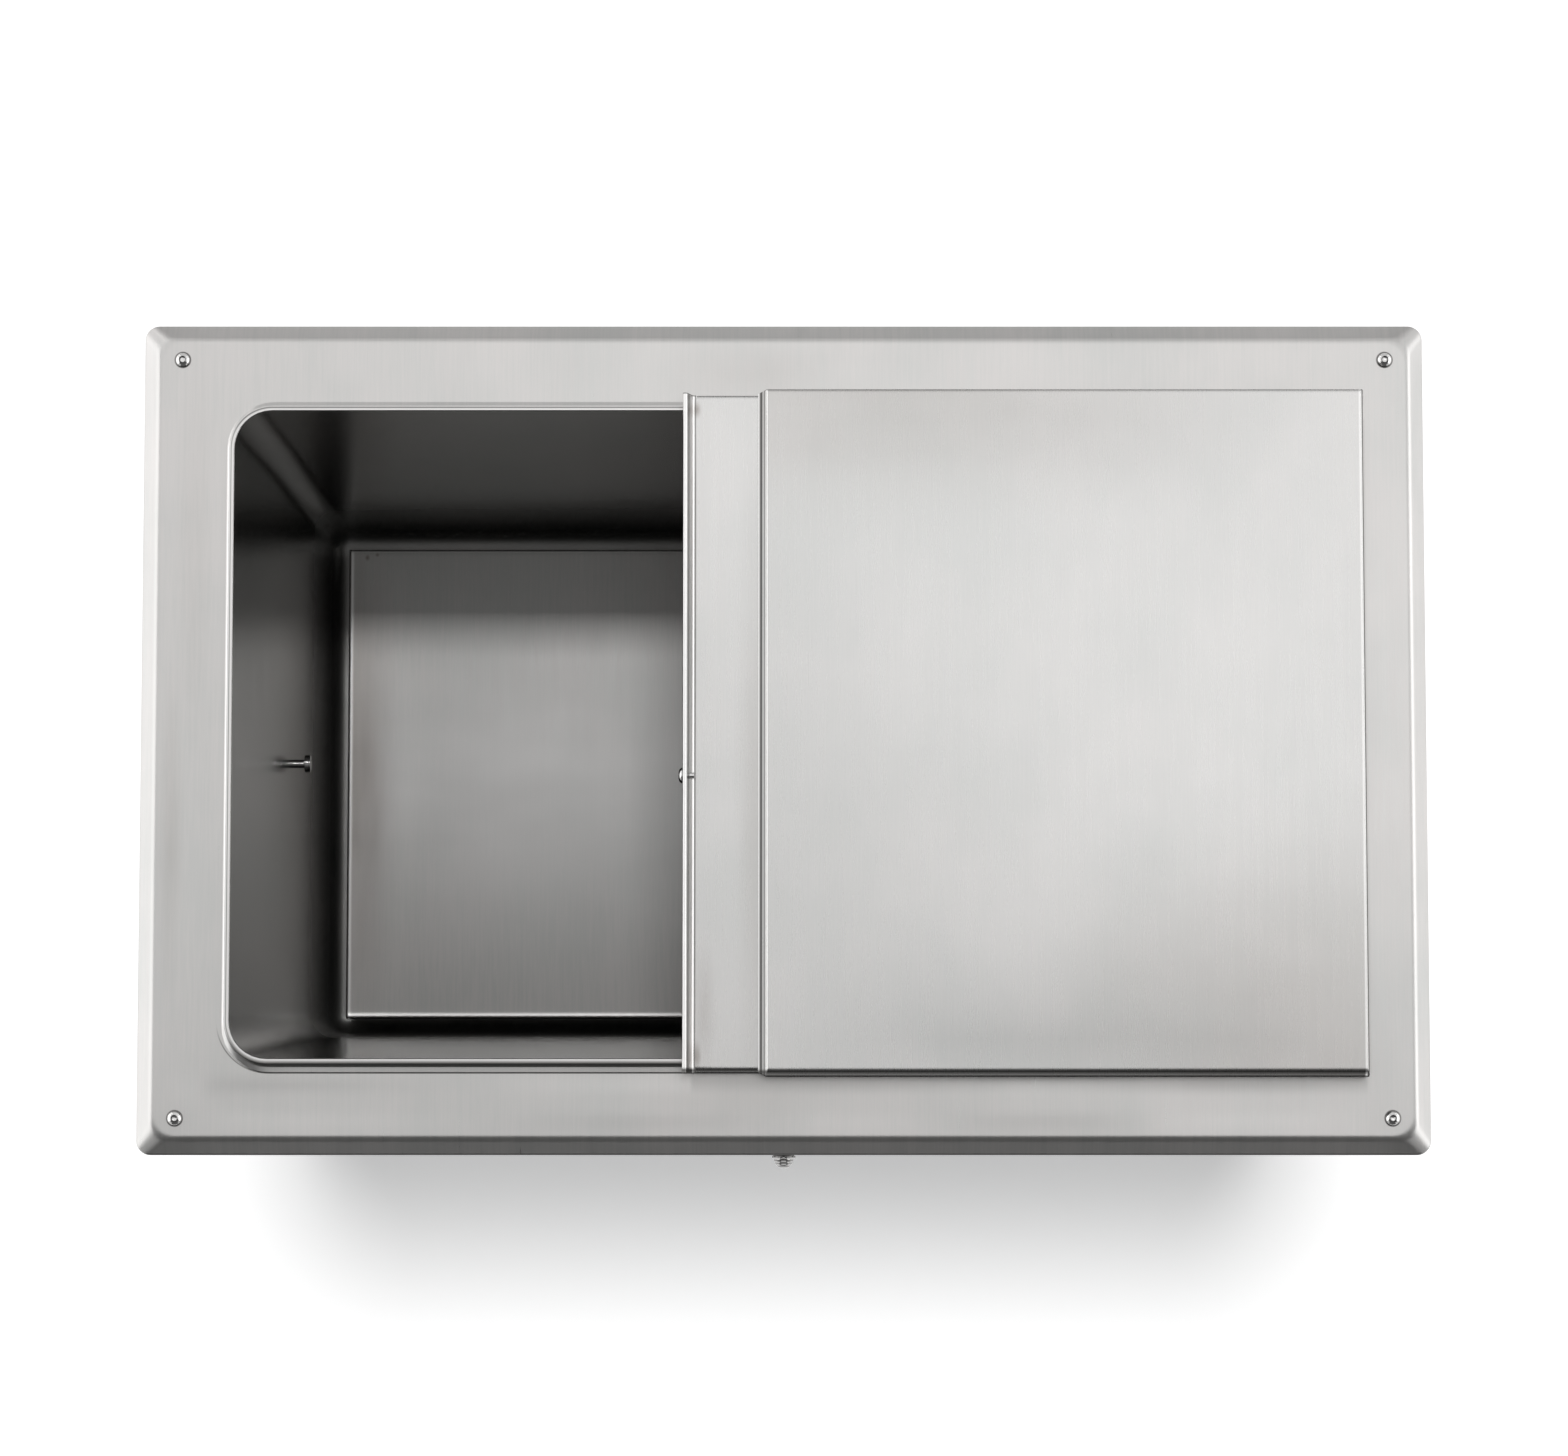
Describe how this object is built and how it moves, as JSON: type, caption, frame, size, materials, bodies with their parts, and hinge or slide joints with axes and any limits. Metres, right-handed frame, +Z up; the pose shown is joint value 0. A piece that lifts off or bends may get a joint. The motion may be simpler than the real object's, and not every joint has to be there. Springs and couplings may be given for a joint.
{
  "type": "drop-in ice bin",
  "caption": "Drop-in insulated ice bin: stainless deck with a raised collar, deep tapered well, loose false bottom, sliding lower cover and lift-off upper cover.",
  "frame": {"origin": "middle of the four corner screws, on the plane of the counter's top that the battens rest on", "axes": "+X to the user's right along the long side, +Y away from the user, +Z up out of the counter"},
  "size_m": [0.813, 0.5345, 0.5084],
  "materials": {
    "deck_steel": "satin stainless, brushed front to back",
    "liner_steel": "satin stainless, slightly dulled",
    "cover_steel": "bright satin stainless",
    "bright_steel": "polished stainless",
    "plain_steel": "plain galvanised",
    "foam": "rigid foam",
    "tape": "closed-cell tape",
    "batten_plastic": "solid plastic bar",
    "brass": "machined",
    "drain_plastic": "moulded",
    "glide_plastic": "low-friction strip"
  },
  "bodies": {
    "root": {"deck_top": "deck_steel", "well_liner": "liner_steel", "insulation_foam": "foam", "outer_casing": "plain_steel", "casing_bottom": "plain_steel", "thermal_break": "tape", "casing_studs": "plain_steel", "casing_nuts": "plain_steel", "casing_rivets": "plain_steel", "front_batten": "batten_plastic", "back_batten": "batten_plastic", "left_batten": "batten_plastic", "right_batten": "batten_plastic", "edge_seal": "tape", "corner_screws": "bright_steel", "front_cap_nut": "bright_steel", "front_lip_stud": "bright_steel", "front_lip_nut": "bright_steel", "wall_pin": "bright_steel", "wall_pin_nut": "plain_steel", "drain_body": "brass", "drain_strainer": "bright_steel", "drain_gasket": "tape", "drain_locknut": "brass"},
    "sliding_cover": {"sliding_cover_panel": "cover_steel", "finger_stud": "bright_steel", "front_glide": "glide_plastic", "back_glide": "glide_plastic"},
    "fixed_cover": {"fixed_cover_panel": "cover_steel", "cover_locators": "glide_plastic"},
    "false_bottom": {"false_bottom_plate": "liner_steel", "false_bottom_rib": "liner_steel", "false_bottom_feet": "drain_plastic"}
  },
  "joints": [
    {"name": "cover_slide", "type": "slide", "parent": "root", "child": "sliding_cover", "axis": [1, 0, 0], "range_m": [-0.291, 0.0395]},
    {"name": "cover_lift", "type": "slide", "parent": "root", "child": "fixed_cover", "axis": [0, 0, 1], "range_m": [0, 0.15]},
    {"name": "false_bottom_lift", "type": "slide", "parent": "root", "child": "false_bottom", "axis": [0, 0, 1], "range_m": [0, 0.3]}
  ]
}
